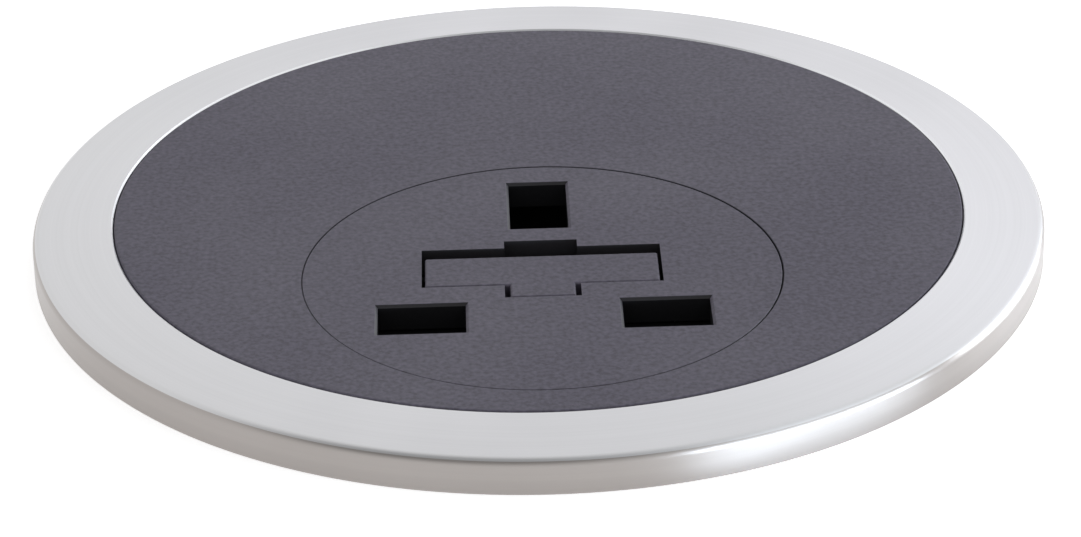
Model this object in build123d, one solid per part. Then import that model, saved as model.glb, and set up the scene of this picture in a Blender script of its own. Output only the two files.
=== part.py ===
from build123d import *
import math
import os

# A round power module for an 80 mm desk hole, in millimetres.
# The origin is the centre of the seat on the desk top, +Z is up out of the desk, -Y is the user's side.

# Desk
desk_hole_diameter = 80.0
hole_clearance = 0.8
thinnest_desk = 16.0

# Trim ring
ring_width = 7.5
ring_fall = 0.45
ring_edge_chamfer = 0.4
ring_inner_chamfer = 0.12
ring_skirt_wall = 1.3
ring_foot_chamfer = 0.15
ring_screw_room = 0.05

# Face plate
face_overlap = 0.3
face_gap = 0.2
face_thickness = 2.0
face_edge_chamfer = 0.12

# Housing
flange_thickness = 1.4
flange_clearance = 0.1
barrel_wall = 3.2
barrel_end = -47.5
lug_thickness = 3.0
lug_radius = 3.2
housing_lug_depth = 1.0
housing_lug_angles = (-30.0, 48.0, 132.0, 210.0)
lug_wall_gap = 0.3
lug_bite = 0.8
base_lug_height = 9.0
base_lug_angles = (35.0, 145.0, 215.0, 325.0)

# Thread of the barrel and its nut
thread_pitch = 4.0
thread_depth = 1.1
thread_root_width = 2.4
thread_crest_width = 1.3
thread_root_clearance = 0.3
thread_crest_clearance = 0.35
thread_bite = 0.35
thread_start = -15.0
thread_end_margin = 2.0
nut_thread_turns = 1.5
washer_thickness = 2.0
washer_width = 7.5
washer_clearance = 0.3
nut_height = 9.0
nut_wall = 4.95
nut_rib_height = 1.8
nut_rib_width = 5.0
nut_rib_count = 16
nut_edge_chamfer = 0.8

# Socket
socket_edge_distance = 3.8
socket_diameter = 44.2
socket_seam = 0.07
socket_seam_shift = 0.045
socket_plate_thickness = 2.5
pin_pitch = 22.22
live_line_drop = 8.3
earth_aperture_width = 5.5
earth_aperture_height = 9.4
live_aperture_width = 8.0
live_aperture_height = 5.3
aperture_edge = 0.25
insert_edge_chamfer = 0.05
insert_rim = 1.9
insert_wall = 1.3
insert_bore_gap = 0.4
insert_foot = -7.0

# Fuse drawer, in the socket's own coordinates
drawer_width = 21.6
drawer_front = -2.2
drawer_back = 3.45
drawer_side_gap = 0.3
drawer_front_gap = 0.1
drawer_back_gap = 1.65
drawer_edge = 0.15
drawer_tab_width = 6.0
drawer_tab_length = 2.4
tab_side_gap = 0.5
lever_width = 6.2
lever_length = 2.75
lever_drop = 1.5
lever_gap = 0.3
drawer_cap_thickness = 2.4
drawer_end_wall = 0.65
saddle_half_width = 4.2
saddle_wrap = 1.56
fuse_well_wall = 0.8
fuse_well_front_room = 0.7

# Fuse link, 5 x 20 mm
fuse_length = 20.0
fuse_cap_diameter = 5.2
fuse_cap_length = 5.3
fuse_cap_wall = 0.25
fuse_tube_wall = 0.6
fuse_wire_diameter = 0.3
fuse_z = -1.3
fuse_fit = 0.05

# Plug contacts and fuse clips
contact_strip = 0.5
contact_gap = 4.1
contact_width = 5.4
contact_flare = 0.55
contact_flare_height = 1.4
live_contact_top = -3.6
live_contact_floor = -14.5
earth_contact_top = -6.6
earth_contact_floor = -19.7
clip_strip = 0.4
clip_width = 3.8
clip_middle = 7.5
clip_rise = 2.2
tab_width = 4.8
tab_thickness = 0.8
tab_end = -30.0

# Contact carrier
carrier_flange_thickness = 2.5
carrier_radius = 19.5
carrier_foot = -22.0
contact_room = 0.4
tab_slot_clearance = 0.15
post_size = 1.8
post_spacing = 6.0
post_middle = 1.0
boss_gap = 1.5
boss_angles = (17.5, 66.0, 114.0, 162.5)
boss_radius = 3.0

# Shutter
shutter_thickness = 1.6
shutter_clearance = 0.2
shutter_travel = 5.2
earth_pin_height = 8.0
shutter_arm_width = 2.4
shutter_bar_width = 1.8
shutter_cover = 0.3
shutter_ramp_width = 4.8
shutter_ramp_foot = -5.4
shutter_heel_depth = 3.0
shutter_heel_width = 5.0
spring_diameter = 3.0
spring_wire = 0.4
spring_turns = 7.0
spring_peg_radius = 0.9
spring_peg_length = 1.6
spring_z = -1.3
spring_end_gap = 0.1

# Base cover and mains inlet
base_thickness = 2.5
spigot_wall = 1.5
spigot_height = 2.5
spigot_clearance = 0.3
inlet_edge_distance = 4.3
inlet_flange_width = 30.6
inlet_flange_height = 23.4
inlet_flange_thickness = 1.2
inlet_body_width = 26.8
inlet_body_height = 19.8
inlet_body_depth = 19.0
inlet_cavity_width = 24.0
inlet_cavity_height = 16.4
inlet_cavity_depth = 16.5
inlet_corner = 2.0
inlet_key = 4.5
inlet_clearance = 0.1
inlet_pin_spacing = 7.0
inlet_pin_offset = 2.0
inlet_pin_thickness = 2.0
inlet_pin_height = 4.0
inlet_pin_set_back = 2.0
inlet_pin_chamfer = 0.4
inlet_tab_length = 7.0

# Gasket
gasket_thickness = 0.5
gasket_edge_gap = 0.1

# Screws
small_screw_radius = 1.0
small_head_radius = 1.9
small_head_height = 1.0
small_screw_reach = 2.6
bezel_screw_angles = (45.0, 135.0, 225.0, 315.0)
screw_radius = 1.25
screw_head_radius = 2.3
screw_head_height = 1.8
screw_head_edge = 0.6
screw_reach = 5.2
carrier_screw_reach = 8.0
base_screw_radius = 1.5
base_head_radius = 2.8
base_head_height = 1.7
base_screw_reach = 9.0
screw_clearance = 0.2
thread_fit = 0.03
recess_width = 0.6
recess_depth = 0.7
recess_share = 0.55

# Inner wires, whose bends are measured from the lower end of the contact's sleeve
wire_diameter = 2.6
wire_bend_share = 0.45
line_wire_run = 9.0
line_wire_bends = ((-1.0, 14.0, -6.0), (-1.0, 3.0, -10.0), (0.0, 0.0, -8.0))
neutral_wire_run = 9.0
neutral_wire_bends = ((17.1, 19.0, -9.0), (7.0, 5.0, -12.0), (0.0, 0.0, -10.0))
earth_wire_run = 7.9
earth_wire_bends = ((0.6, 6.7, -9.0), (0.0, 0.0, -9.0))
sleeve_wall = 0.6
sleeve_length = 7.0
sleeve_overlap = 6.0
sleeve_fit = 0.05

# Sizes that follow from the ones above
barrel_radius = desk_hole_diameter / 2 - hole_clearance
barrel_bore = barrel_radius - barrel_wall
thread_root = barrel_radius - thread_depth
face_radius = desk_hole_diameter / 2 + face_overlap
ring_inner_radius = face_radius + face_gap
ring_radius = ring_inner_radius + ring_width
flange_bottom = gasket_thickness
flange_top = flange_bottom + flange_thickness
face_top = flange_top + face_thickness
flange_radius = ring_radius - ring_skirt_wall - flange_clearance
base_bottom = barrel_end - base_thickness
socket_radius = socket_diameter / 2
socket_y = -(face_radius - socket_edge_distance - socket_radius)
insert_flange_radius = socket_radius + insert_rim
boss_circle = insert_flange_radius + boss_gap + boss_radius
plate_bottom = face_top - socket_plate_thickness
live_line = -live_line_drop
earth_line = live_line + pin_pitch
live_u = pin_pitch / 2
carrier_shoulder = insert_foot - carrier_flange_thickness
housing_lug_top = -housing_lug_depth
lug_circle = barrel_bore - lug_radius - lug_wall_gap
drawer_middle = (drawer_front + drawer_back) / 2
well_front = drawer_front - fuse_well_front_room
well_back = drawer_back + drawer_side_gap
well_half_width = drawer_width / 2 + drawer_side_gap
shutter_top = plate_bottom - shutter_clearance
shutter_bottom = shutter_top - shutter_thickness
washer_bore = barrel_radius + washer_clearance
washer_bottom = -thinnest_desk - washer_thickness
nut_bore = barrel_radius + thread_crest_clearance
nut_radius = nut_bore + nut_wall
nut_bottom = washer_bottom - nut_height
nut_thread_low = nut_bottom + (nut_height - thread_pitch * nut_thread_turns) / 2
turns_below = math.floor((nut_thread_low - barrel_end - thread_end_margin) / thread_pitch - 0.5)
thread_low = nut_thread_low - thread_pitch * (turns_below + 0.5)
thread_turns = (thread_start - thread_end_margin - thread_low) / thread_pitch
inlet_y = barrel_bore - inlet_edge_distance - inlet_flange_height / 2
inlet_back = base_bottom + inlet_body_depth
inlet_floor = base_bottom + inlet_cavity_depth
bezel_screw_circle = (ring_inner_radius + flange_radius) / 2
bezel_screw_tip = flange_bottom + small_screw_reach
face_screw_seat = housing_lug_top - lug_thickness
face_screw_top = face_screw_seat + screw_reach
carrier_screw_top = carrier_shoulder + carrier_screw_reach
spring_wall = -(barrel_bore - insert_bore_gap - insert_wall)
fuse_bottom = fuse_z - fuse_cap_diameter / 2
fuse_tube_radius = fuse_cap_diameter / 2 - fuse_cap_wall
saddle_bottom = fuse_z - saddle_wrap
wire_top = inlet_back + inlet_tab_length - sleeve_overlap + sleeve_length / 2
wire_bottom = tab_end + sleeve_overlap - sleeve_length
sleeve_half = tab_width / 2 + sleeve_fit + sleeve_wall


def block(x0, x1, y0, y1, z0, z1):
    return Pos((x0 + x1) / 2, (y0 + y1) / 2, (z0 + z1) / 2) * Box(x1 - x0, y1 - y0, z1 - z0)


def disc(radius, z0, z1, x=0.0, y=0.0):
    return Pos(x, y, (z0 + z1) / 2) * Cylinder(radius, z1 - z0)


def tube(outer, inner, z0, z1, x=0.0, y=0.0):
    return disc(outer, z0, z1, x, y) - disc(inner, z0, z1, x, y)


def in_socket(shape):
    """Moves a shape from the socket's own coordinates to the part's."""
    return Pos(0, socket_y, 0) * shape


def on_circle(radius, degrees):
    angle = math.radians(degrees)
    return radius * math.cos(angle), radius * math.sin(angle)


def revolved(points):
    """A solid of revolution about Z from (radius, height) points."""
    outline = Polyline(*[(r, 0, z) for r, z in points], close=True)
    return revolve(make_face(outline), Axis.Z)


def along_x(points, x0, x1):
    """A prism along X from (y, z) points."""
    outline = Polyline(*[(x0, y, z) for y, z in points], close=True)
    return extrude(make_face(outline), amount=x1 - x0, dir=(1, 0, 0))


def along_y(points, y0, y1):
    """A prism along Y from (x, z) points."""
    outline = Polyline(*[(x, y0, z) for x, z in points], close=True)
    return extrude(make_face(outline), amount=y1 - y0, dir=(0, 1, 0))


def edges_at(shape, height, tolerance=0.01):
    """Edges that lie flat at one height."""
    return shape.edges().filter_by_position(Axis.Z, height - tolerance, height + tolerance)


def socket_outline(inset, z0, z1):
    """The body under the socket: round, and flattened where it meets the barrel's bore."""
    body = disc(insert_flange_radius - inset, z0, z1, 0, socket_y)
    return body & disc(barrel_bore - insert_bore_gap - inset, z0, z1)


# Bezel ring
def make_bezel_ring():
    outer_top = face_top - ring_fall
    ring = revolved([
        (ring_inner_radius, flange_top),
        (ring_inner_radius, face_top - ring_inner_chamfer),
        (ring_inner_radius + ring_inner_chamfer, face_top),
        (ring_radius - ring_edge_chamfer, outer_top),
        (ring_radius, outer_top - ring_edge_chamfer),
        (ring_radius, ring_foot_chamfer),
        (ring_radius - ring_foot_chamfer, 0),
        (ring_radius - ring_skirt_wall, 0),
        (ring_radius - ring_skirt_wall, flange_top),
    ])
    for angle in bezel_screw_angles:
        x, y = on_circle(bezel_screw_circle, angle)
        ring -= disc(small_screw_radius + thread_fit, flange_top, bezel_screw_tip + ring_screw_room, x, y)
    return ring


# Face plate
def make_face_plate():
    plate = disc(face_radius, flange_top, face_top)
    plate = chamfer(edges_at(plate, face_top), face_edge_chamfer)
    seam = socket_radius + socket_seam
    plate -= disc(seam, flange_top, face_top, socket_seam_shift, socket_y + socket_seam_shift)
    for x, y in boss_places():
        plate += disc(boss_radius, insert_foot, flange_top, x, y)
        plate -= disc(screw_radius + thread_fit, insert_foot, carrier_screw_top, x, y)
    for angle in housing_lug_angles:
        x, y = on_circle(lug_circle, angle)
        plate += disc(boss_radius, housing_lug_top, flange_top, x, y)
        plate -= disc(screw_radius + thread_fit, housing_lug_top, face_screw_top, x, y)
    return plate


def boss_places():
    places = [on_circle(boss_circle, angle) for angle in boss_angles]
    return [(x, socket_y + y) for x, y in places]


# Socket insert
def drawer_opening():
    """What the front plate leaves open for the fuse drawer, its tab and its lever notch."""
    z0 = plate_bottom
    z1 = face_top
    half = well_half_width
    main = block(-half, half, drawer_front - drawer_front_gap, drawer_back + drawer_back_gap, z0, z1)
    tab_half = drawer_tab_width / 2 + tab_side_gap
    tab_front = drawer_front - drawer_tab_length - drawer_front_gap
    tab = block(-tab_half, tab_half, tab_front, drawer_front, z0, z1)
    lever_half = lever_width / 2 + lever_gap
    lever = block(-lever_half, lever_half, drawer_back, drawer_back + lever_length + lever_gap, z0, z1)
    return main + tab + lever


def make_socket_insert():
    top = disc(socket_radius, flange_top, face_top)
    top = chamfer(edges_at(top, face_top), insert_edge_chamfer)
    half_u = earth_aperture_width / 2
    half_v = earth_aperture_height / 2
    openings = [(0, earth_line, half_u, half_v)]
    for side in (-1, 1):
        openings.append((side * live_u, live_line, live_aperture_width / 2, live_aperture_height / 2))
    insert = in_socket(top) + socket_outline(0, plate_bottom, flange_top)
    inside = socket_outline(insert_wall, insert_foot, plate_bottom)
    insert += socket_outline(0, insert_foot, plate_bottom) - inside
    wall = fuse_well_wall
    well = block(-well_half_width - wall, well_half_width + wall, well_front - wall, well_back + wall,
                 insert_foot, plate_bottom)
    insert += in_socket(well)
    for u, v, width, height in openings:
        insert -= in_socket(block(u - width, u + width, v - height, v + height, plate_bottom, face_top))
    room = block(-well_half_width, well_half_width, well_front, well_back, insert_foot, plate_bottom)
    insert -= in_socket(room)
    insert -= in_socket(drawer_opening())
    rims = [e for e in edges_at(insert, face_top) if e.geom_type == GeomType.LINE]
    aperture_rims = [e for e in rims if near_aperture(e.center(), openings)]
    insert = chamfer(aperture_rims, aperture_edge)
    peg = Pos(0, spring_wall - socket_y, spring_z) * Rot(-90, 0, 0) * Cylinder(
        spring_peg_radius, spring_peg_length, align=(Align.CENTER, Align.CENTER, Align.MIN))
    return insert + in_socket(peg)


def near_aperture(point, openings):
    for u, v, width, height in openings:
        inside_u = abs(point.X - u) < width + aperture_edge
        inside_v = abs(point.Y - socket_y - v) < height + aperture_edge
        if inside_u and inside_v:
            return True
    return False


# Fuse drawer
def make_fuse_carrier():
    z0 = face_top - drawer_cap_thickness
    half = drawer_width / 2
    cap = block(-half, half, drawer_front, drawer_back, z0, face_top)
    tab_half = drawer_tab_width / 2
    cap += block(-tab_half, tab_half, drawer_front - drawer_tab_length, drawer_front, z0, face_top)
    cap = chamfer(edges_at(cap, face_top), drawer_edge)
    lever_half = lever_width / 2
    cap += block(-lever_half, lever_half, drawer_back, drawer_back + lever_length, z0, face_top - lever_drop)
    saddle = block(-saddle_half_width, saddle_half_width, drawer_front, drawer_back, saddle_bottom, z0)
    bore = Rot(0, 90, 0) * Cylinder(fuse_cap_diameter / 2 + fuse_fit, drawer_width)
    saddle -= Pos(0, drawer_middle, fuse_z) * bore
    drawer = cap + saddle
    for side in (-1, 1):
        inner = side * (half - drawer_end_wall)
        outer = side * half
        drawer += block(min(inner, outer), max(inner, outer), drawer_front, drawer_back, fuse_bottom, z0)
    return in_socket(drawer)


# Fuse link
def fuse_rod(radius, x0, x1):
    rod = Pos((x0 + x1) / 2, drawer_middle, fuse_z) * Rot(0, 90, 0) * Cylinder(radius, x1 - x0)
    return in_socket(rod)


def make_fuse_caps():
    half = fuse_length / 2
    caps = []
    for side in (-1, 1):
        mouth = side * (half - fuse_cap_length)
        end = side * half
        inner = side * (half - fuse_cap_wall)
        cap = fuse_rod(fuse_cap_diameter / 2, min(mouth, end), max(mouth, end))
        caps.append(cap - fuse_rod(fuse_tube_radius, min(mouth, inner), max(mouth, inner)))
    return Compound(children=caps)


def make_fuse_tube():
    half = fuse_length / 2 - fuse_cap_wall
    return fuse_rod(fuse_tube_radius - fuse_fit / 2, -half, half) - fuse_rod(
        fuse_tube_radius - fuse_tube_wall, -half, half)


def make_fuse_wire():
    half = fuse_length / 2 - fuse_cap_wall
    return fuse_rod(fuse_wire_diameter / 2, -half, half)


# Brass contacts
def jaw_profile(gap, strip, top, floor):
    """One leaf of a contact, across the pin, with a flared mouth."""
    bend = top - contact_flare_height
    return [
        (gap / 2, floor),
        (gap / 2, bend),
        (gap / 2 + contact_flare, top),
        (gap / 2 + contact_flare + strip, top),
        (gap / 2 + strip, bend),
        (gap / 2 + strip, floor),
    ]


def live_jaws(u):
    """The two leaves that grip a live or neutral pin, and the base that joins them."""
    half = contact_width / 2
    profile = jaw_profile(contact_gap, contact_strip, live_contact_top, live_contact_floor)
    back = along_x([(live_line + v, z) for v, z in profile], u - half, u + half)
    front = along_x([(live_line - v, z) for v, z in profile], u - half, u + half)
    reach = contact_gap / 2 + contact_strip
    base = block(u - half, u + half, live_line - reach, live_line + reach,
                 live_contact_floor, live_contact_floor + contact_strip)
    return back + front + base


def fuse_clip(u):
    """A brass channel that holds one end cap of the fuse."""
    half = clip_width / 2
    inner = fuse_cap_diameter / 2 + fuse_fit
    outer = inner + clip_strip
    clip = block(u - half, u + half, drawer_middle - outer, drawer_middle + outer,
                 insert_foot, fuse_z + clip_rise)
    return clip - block(u - half, u + half, drawer_middle - inner, drawer_middle + inner,
                        insert_foot + contact_strip, fuse_z + clip_rise)


def make_neutral_contact():
    tab = block(-live_u - tab_width / 2, -live_u + tab_width / 2,
                live_line - tab_thickness / 2, live_line + tab_thickness / 2, tab_end, live_contact_floor)
    return in_socket(live_jaws(-live_u) + tab)


def make_line_contact():
    clip_outer = drawer_middle + fuse_cap_diameter / 2 + fuse_fit + clip_strip
    left = clip_middle - clip_width / 2
    right = clip_middle + clip_width / 2
    jaw_left = live_u - contact_width / 2
    reach = contact_gap / 2 + contact_strip
    top = live_contact_floor + contact_strip
    bridge = block(left, jaw_left + contact_strip, live_line - reach, live_line + reach,
                   live_contact_floor, top)
    strip = block(left, right, live_line, clip_outer, live_contact_floor, top)
    riser = block(left, right, clip_outer - contact_strip, clip_outer,
                  live_contact_floor, insert_foot + contact_strip)
    return in_socket(live_jaws(live_u) + bridge + strip + riser + fuse_clip(clip_middle))


def make_fuse_clip():
    tab = block(-clip_middle - tab_width / 2, -clip_middle + tab_width / 2,
                drawer_middle - tab_thickness / 2, drawer_middle + tab_thickness / 2, tab_end, insert_foot)
    return in_socket(fuse_clip(-clip_middle) + tab)


def make_earth_contact():
    half = contact_width / 2
    profile = jaw_profile(contact_gap, contact_strip, earth_contact_top, earth_contact_floor)
    right = along_y(profile, earth_line - half, earth_line + half)
    left = along_y([(-u, z) for u, z in profile], earth_line - half, earth_line + half)
    reach = contact_gap / 2 + contact_strip
    base = block(-reach, reach, earth_line - half, earth_line + half,
                 earth_contact_floor, earth_contact_floor + contact_strip)
    tab = block(-tab_thickness / 2, tab_thickness / 2, earth_line - tab_width / 2, earth_line + tab_width / 2,
                tab_end, earth_contact_floor)
    return in_socket(right + left + base + tab)


# Contact carrier
def tab_slot(u, v, along_u, top):
    """The slot in the carrier's floor that one connection tab passes through."""
    long = tab_width / 2 + tab_slot_clearance
    short = tab_thickness / 2 + tab_slot_clearance
    du, dv = (long, short) if along_u else (short, long)
    return in_socket(block(u - du, u + du, v - dv, v + dv, carrier_foot, top))


def make_contact_carrier():
    carrier = socket_outline(0, carrier_shoulder, insert_foot)
    carrier += disc(carrier_radius, carrier_foot, carrier_shoulder, 0, socket_y)
    for x, y in boss_places():
        carrier += disc(boss_radius, carrier_shoulder, insert_foot, x, y)
        carrier += ear(x, y)
    flare = contact_gap / 2 + contact_strip + contact_flare + contact_room
    half = contact_width / 2 + contact_room
    clip_reach = fuse_cap_diameter / 2 + fuse_fit + clip_strip + contact_room
    clip_left = clip_middle - clip_width / 2 - contact_room
    carrier -= in_socket(block(-live_u - half, -live_u + half, live_line - flare, live_line + flare,
                               live_contact_floor, insert_foot))
    carrier -= in_socket(block(clip_left, live_u + half, live_line - flare, live_line + flare,
                               live_contact_floor, insert_foot))
    carrier -= in_socket(block(clip_left, clip_middle + clip_width / 2 + contact_room,
                               live_line, drawer_middle + clip_reach, live_contact_floor, insert_foot))
    carrier -= in_socket(block(-flare, flare, earth_line - half, earth_line + half,
                               earth_contact_floor, insert_foot))
    carrier -= tab_slot(-live_u, live_line, True, live_contact_floor)
    carrier -= tab_slot(-clip_middle, drawer_middle, True, insert_foot)
    carrier -= tab_slot(0, earth_line, False, earth_contact_floor)
    post_u = well_half_width + fuse_well_wall + shutter_clearance + shutter_arm_width / 2
    for side in (-1, 1):
        for step in (-1, 1):
            u = side * post_u
            v = post_middle + step * post_spacing / 2
            half_post = post_size / 2
            carrier += in_socket(block(u - half_post, u + half_post, v - half_post, v + half_post,
                                       insert_foot, shutter_bottom - shutter_clearance))
    for x, y in boss_places():
        carrier -= disc(screw_radius + screw_clearance, carrier_shoulder, insert_foot, x, y)
    return carrier


def ear(x, y):
    """The arm from the carrier's flange out to one screw."""
    dx = x
    dy = y - socket_y
    reach = math.hypot(dx, dy)
    start = insert_flange_radius - insert_wall
    arm = block(start, reach, -boss_radius, boss_radius, carrier_shoulder, insert_foot)
    return in_socket(Rot(0, 0, math.degrees(math.atan2(dy, dx))) * arm)


# Shutter
def make_shutter():
    arm_inner = well_half_width + fuse_well_wall + shutter_clearance
    arm_outer = arm_inner + shutter_arm_width
    z0 = shutter_bottom
    z1 = shutter_top
    flap_half_u = live_aperture_width / 2 + shutter_cover
    flap_half_v = live_aperture_height / 2 + shutter_cover
    flap_front = live_line - flap_half_v
    bar_front = well_back + fuse_well_wall + shutter_clearance + shutter_travel
    bar_back = bar_front + shutter_bar_width
    plate = block(-arm_outer, arm_outer, bar_front, bar_back, z0, z1)
    for side in (-1, 1):
        inner = side * arm_inner
        outer = side * arm_outer
        plate += block(min(inner, outer), max(inner, outer), live_line, bar_back, z0, z1)
        u = side * live_u
        plate += block(u - flap_half_u, u + flap_half_u, flap_front, live_line + flap_half_v, z0, z1)
    plate += block(-live_u, live_u, flap_front, flap_front + shutter_bar_width, z0, z1)
    # The flaps' outer corners clear the round wall of the insert when the shutter is open.
    plate &= disc(-spring_wall - shutter_clearance, z0, z1, 0, shutter_travel - socket_y)
    heel = shutter_heel_width / 2
    plate += block(-heel, heel, flap_front, flap_front + shutter_bar_width, z0 - shutter_heel_depth, z1)
    ramp_nose = earth_line - earth_pin_height / 2 + shutter_travel
    half = shutter_ramp_width / 2
    plate += along_x([
        (bar_front, z1),
        (bar_front + contact_strip, z1),
        (ramp_nose, shutter_ramp_foot + shutter_bar_width / 2),
        (ramp_nose, shutter_ramp_foot),
        (bar_front, shutter_ramp_foot),
    ], -half, half)
    peg = Pos(0, flap_front, spring_z) * Rot(90, 0, 0) * Cylinder(
        spring_peg_radius, spring_peg_length, align=(Align.CENTER, Align.CENTER, Align.MIN))
    return in_socket(plate + peg)


def make_shutter_spring():
    flap_front = live_line - live_aperture_height / 2 - shutter_cover
    wall = spring_wall - socket_y
    length = flap_front - wall - spring_wire - 2 * spring_end_gap
    radius = (spring_diameter - spring_wire) / 2
    path = Helix(pitch=length / spring_turns, height=length, radius=radius)
    section = Plane(origin=path @ 0, z_dir=path % 0) * Circle(spring_wire / 2)
    coil = sweep(section, path=path, is_frenet=True)
    start = wall + spring_end_gap + spring_wire / 2
    return in_socket(Pos(0, start, spring_z) * Rot(-90, 0, 0) * coil)


# Housing barrel
def thread_ridge(base_radius, tip_radius, z_low, turns):
    """A helical ridge whose flanks keep their slope from the tip to the base radius, from its low end up."""
    crest_half = thread_crest_width / 2
    slope = (thread_root_width - thread_crest_width) / (2 * thread_depth)
    base_half = crest_half + slope * abs(tip_radius - base_radius)
    path = Helix(pitch=thread_pitch, height=thread_pitch * turns, radius=base_radius)
    outline = Polyline(
        (base_radius, 0, -base_half),
        (tip_radius, 0, -crest_half),
        (tip_radius, 0, crest_half),
        (base_radius, 0, base_half),
        close=True,
    )
    return Pos(0, 0, z_low) * sweep(make_face(outline), path=path, is_frenet=True)


def make_housing_barrel():
    barrel = disc(flange_radius, flange_bottom, flange_top)
    barrel += disc(barrel_radius, thread_start, flange_bottom)
    barrel += disc(thread_root, barrel_end, thread_start)
    barrel -= disc(barrel_bore, barrel_end, flange_top)
    barrel += thread_ridge(thread_root - thread_bite, barrel_radius, thread_low, thread_turns)
    for angle in housing_lug_angles:
        barrel += lug(angle, face_screw_seat, housing_lug_top)
    for angle in base_lug_angles:
        barrel += lug(angle, barrel_end, barrel_end + base_lug_height)
    for angle in housing_lug_angles:
        x, y = on_circle(lug_circle, angle)
        barrel -= disc(screw_radius + screw_clearance, face_screw_seat, housing_lug_top, x, y)
    for angle in base_lug_angles:
        x, y = on_circle(lug_circle, angle)
        barrel -= disc(base_screw_radius + thread_fit, barrel_end, base_bottom + base_screw_reach, x, y)
    for angle in bezel_screw_angles:
        x, y = on_circle(bezel_screw_circle, angle)
        barrel -= countersink(x, y, flange_bottom, small_head_radius, small_screw_radius, small_head_height,
                              flange_top)
    return barrel


def lug(angle, z0, z1):
    """A screw lug inside the barrel, joined to its wall."""
    arm = block(lug_circle, barrel_bore + lug_bite, -lug_radius, lug_radius, z0, z1)
    return Rot(0, 0, angle) * (arm + disc(lug_radius, z0, z1, lug_circle, 0))


def countersink(x, y, face, head_radius, shank_radius, head_height, end):
    """The hole for a countersunk screw that enters from below at height face."""
    cone = revolved([
        (0, face),
        (head_radius + thread_fit, face),
        (shank_radius + thread_fit, face + head_height + thread_fit),
        (shank_radius + thread_fit, end),
        (0, end),
    ])
    return Pos(x, y, 0) * cone


# Gasket
def make_flange_gasket():
    return tube(flange_radius - gasket_edge_gap, barrel_radius + gasket_edge_gap, 0, gasket_thickness)


# Clamp washer and nut
def make_clamp_washer():
    return tube(washer_bore + washer_width, washer_bore, washer_bottom, -thinnest_desk)


def make_clamp_nut():
    tip = thread_root + thread_root_clearance
    nut = disc(nut_radius, nut_bottom, washer_bottom)
    nut = chamfer(edges_at(nut, nut_bottom), nut_edge_chamfer)
    ribs = Part()
    for index in range(nut_rib_count):
        rib = block(nut_radius - nut_rib_height, nut_radius + nut_rib_height,
                    -nut_rib_width / 2, nut_rib_width / 2, nut_bottom + nut_edge_chamfer, washer_bottom)
        ribs += Rot(0, 0, 360 * index / nut_rib_count) * rib
    nut += ribs & disc(nut_radius + nut_rib_height, nut_bottom, washer_bottom)
    nut -= disc(nut_bore, nut_bottom, washer_bottom)
    return nut + thread_ridge(nut_bore + thread_bite, tip, nut_thread_low, nut_thread_turns)


# Base cover
def make_base_cover():
    cover = disc(thread_root, base_bottom, barrel_end)
    spigot = tube(barrel_bore - spigot_clearance, barrel_bore - spigot_clearance - spigot_wall,
                  barrel_end, barrel_end + spigot_height)
    for angle in base_lug_angles:
        x, y = on_circle(lug_circle, angle)
        gap = lug_radius + spigot_clearance
        arm = block(0, barrel_bore, -gap, gap, barrel_end, barrel_end + spigot_height)
        spigot -= Rot(0, 0, angle) * arm
        cover -= countersink(x, y, base_bottom, base_head_radius, base_screw_radius + screw_clearance,
                             base_head_height, barrel_end)
    cover += spigot
    cover -= inlet_prism(inlet_flange_width + 2 * inlet_clearance, inlet_flange_height + 2 * inlet_clearance,
                         base_bottom, base_bottom + inlet_flange_thickness)
    cover -= inlet_prism(inlet_body_width + 2 * inlet_clearance, inlet_body_height + 2 * inlet_clearance,
                         base_bottom, barrel_end + spigot_height)
    return cover


# Mains inlet
def inlet_prism(width, height, z0, z1):
    outline = Pos(0, inlet_y) * RectangleRounded(width, height, inlet_corner)
    return Pos(0, 0, z0) * extrude(outline, amount=z1 - z0)


def make_inlet_shell():
    shell = inlet_prism(inlet_flange_width, inlet_flange_height, base_bottom,
                        base_bottom + inlet_flange_thickness)
    shell += inlet_prism(inlet_body_width, inlet_body_height, base_bottom, inlet_back)
    half_w = inlet_cavity_width / 2
    half_h = inlet_cavity_height / 2
    outline = Polyline(
        (-half_w, inlet_y - half_h + inlet_key),
        (-half_w + inlet_key, inlet_y - half_h),
        (half_w - inlet_key, inlet_y - half_h),
        (half_w, inlet_y - half_h + inlet_key),
        (half_w, inlet_y + half_h),
        (-half_w, inlet_y + half_h),
        close=True,
    )
    shell -= Pos(0, 0, base_bottom) * extrude(make_face(outline), amount=inlet_cavity_depth)
    for x, y in inlet_pin_places():
        half_x = inlet_pin_thickness / 2
        half_y = inlet_pin_height / 2
        shell -= block(x - half_x, x + half_x, y - half_y, y + half_y, inlet_floor, inlet_back)
    return shell


def inlet_pin_places():
    """Line, neutral and earth."""
    row = inlet_y + inlet_pin_offset
    return [(-inlet_pin_spacing, row), (inlet_pin_spacing, row), (0, inlet_y - inlet_pin_offset)]


def make_inlet_pin(place):
    x, y = place
    half_x = inlet_pin_thickness / 2
    half_y = inlet_pin_height / 2
    tip = base_bottom + inlet_pin_set_back
    blade = block(x - half_x, x + half_x, y - half_y, y + half_y, tip, inlet_back)
    blade = chamfer(edges_at(blade, tip), inlet_pin_chamfer)
    tab_half = tab_width / 2
    thin = tab_thickness / 2
    tab_top = inlet_back + inlet_tab_length
    return blade + block(x - thin, x + thin, y - tab_half, y + tab_half, inlet_back, tab_top)


# Screws
def recess(x, y, head_bottom, head_radius):
    """A cross recess in the underside of a screw's head."""
    long = head_radius * recess_share
    short = recess_width / 2
    top = head_bottom + recess_depth
    bar = block(-long, long, -short, short, head_bottom, top)
    return Pos(x, y, 0) * (bar + Rot(0, 0, 90) * bar)


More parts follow.
